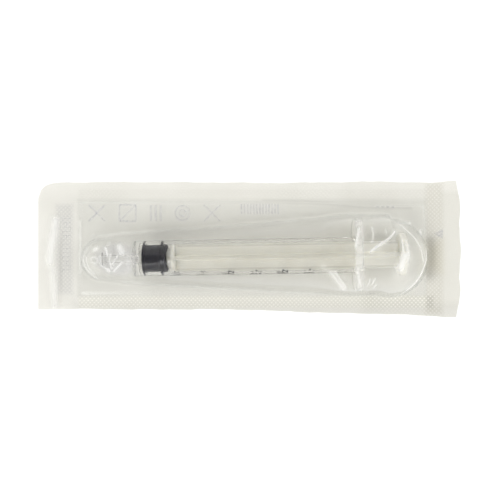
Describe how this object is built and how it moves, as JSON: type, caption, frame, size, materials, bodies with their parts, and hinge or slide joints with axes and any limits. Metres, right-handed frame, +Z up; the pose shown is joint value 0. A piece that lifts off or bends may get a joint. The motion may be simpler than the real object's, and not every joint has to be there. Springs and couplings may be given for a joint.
{
  "type": "oral syringe",
  "caption": "Small oral dosing syringe with a slim tip, oval finger flange and cross-bladed plunger, sealed in a clear film and paper peel pouch.",
  "frame": {"origin": "middle of the underside of the pouch's paper, where it lies on a table", "axes": "+X along the pouch from the syringe's tip to its thumb plate, +Y across the pouch, +Z up through the paper and the film"},
  "size_m": [0.1293, 0.0413, 0.0136],
  "materials": {
    "pouch_paper": "uncoated white medical paper, matte, faintly fibrous",
    "pouch_film": "clear formed film, glossy, with a diamond-pattern heat seal",
    "barrel_plastic": "clear moulded polypropylene, glossy, with a printed black scale",
    "stopper_rubber": "black rubber, satin, lightly lubricated",
    "rod_plastic": "natural milky polypropylene, satin"
  },
  "bodies": {
    "pouch": {"paper_web": "pouch_paper", "film_end_seal": "pouch_film"},
    "film": {"film_web": "pouch_film"},
    "syringe": {"barrel": "barrel_plastic"},
    "piston": {"stopper": "stopper_rubber"},
    "plunger": {"plunger_rod": "rod_plastic"}
  },
  "joints": [
    {"name": "film_peel", "type": "hinge", "parent": "pouch", "child": "film", "pos_m": [-0.054, 0, 0.0005], "axis": [0, -1, 0], "range_deg": [0, 115]},
    {"name": "syringe_lift", "type": "slide", "parent": "pouch", "child": "syringe", "axis": [0, 0, 1], "range_m": [0, 0.014]},
    {"name": "plunger_slide", "type": "slide", "parent": "syringe", "child": "piston", "axis": [0.9998, 0.0175, 0], "range_m": [-0.0008, 0.052], "deforming": ["film_web"]},
    {"name": "plunger_turn", "type": "hinge", "parent": "piston", "child": "plunger", "pos_m": [0, -0.002, 0.00675], "axis": [0.9998, 0.0175, 0], "continuous": true}
  ],
  "couplings": [
    {"joint": "syringe_lift", "follows": "film_peel", "m_per_rad": 0.0069}
  ]
}
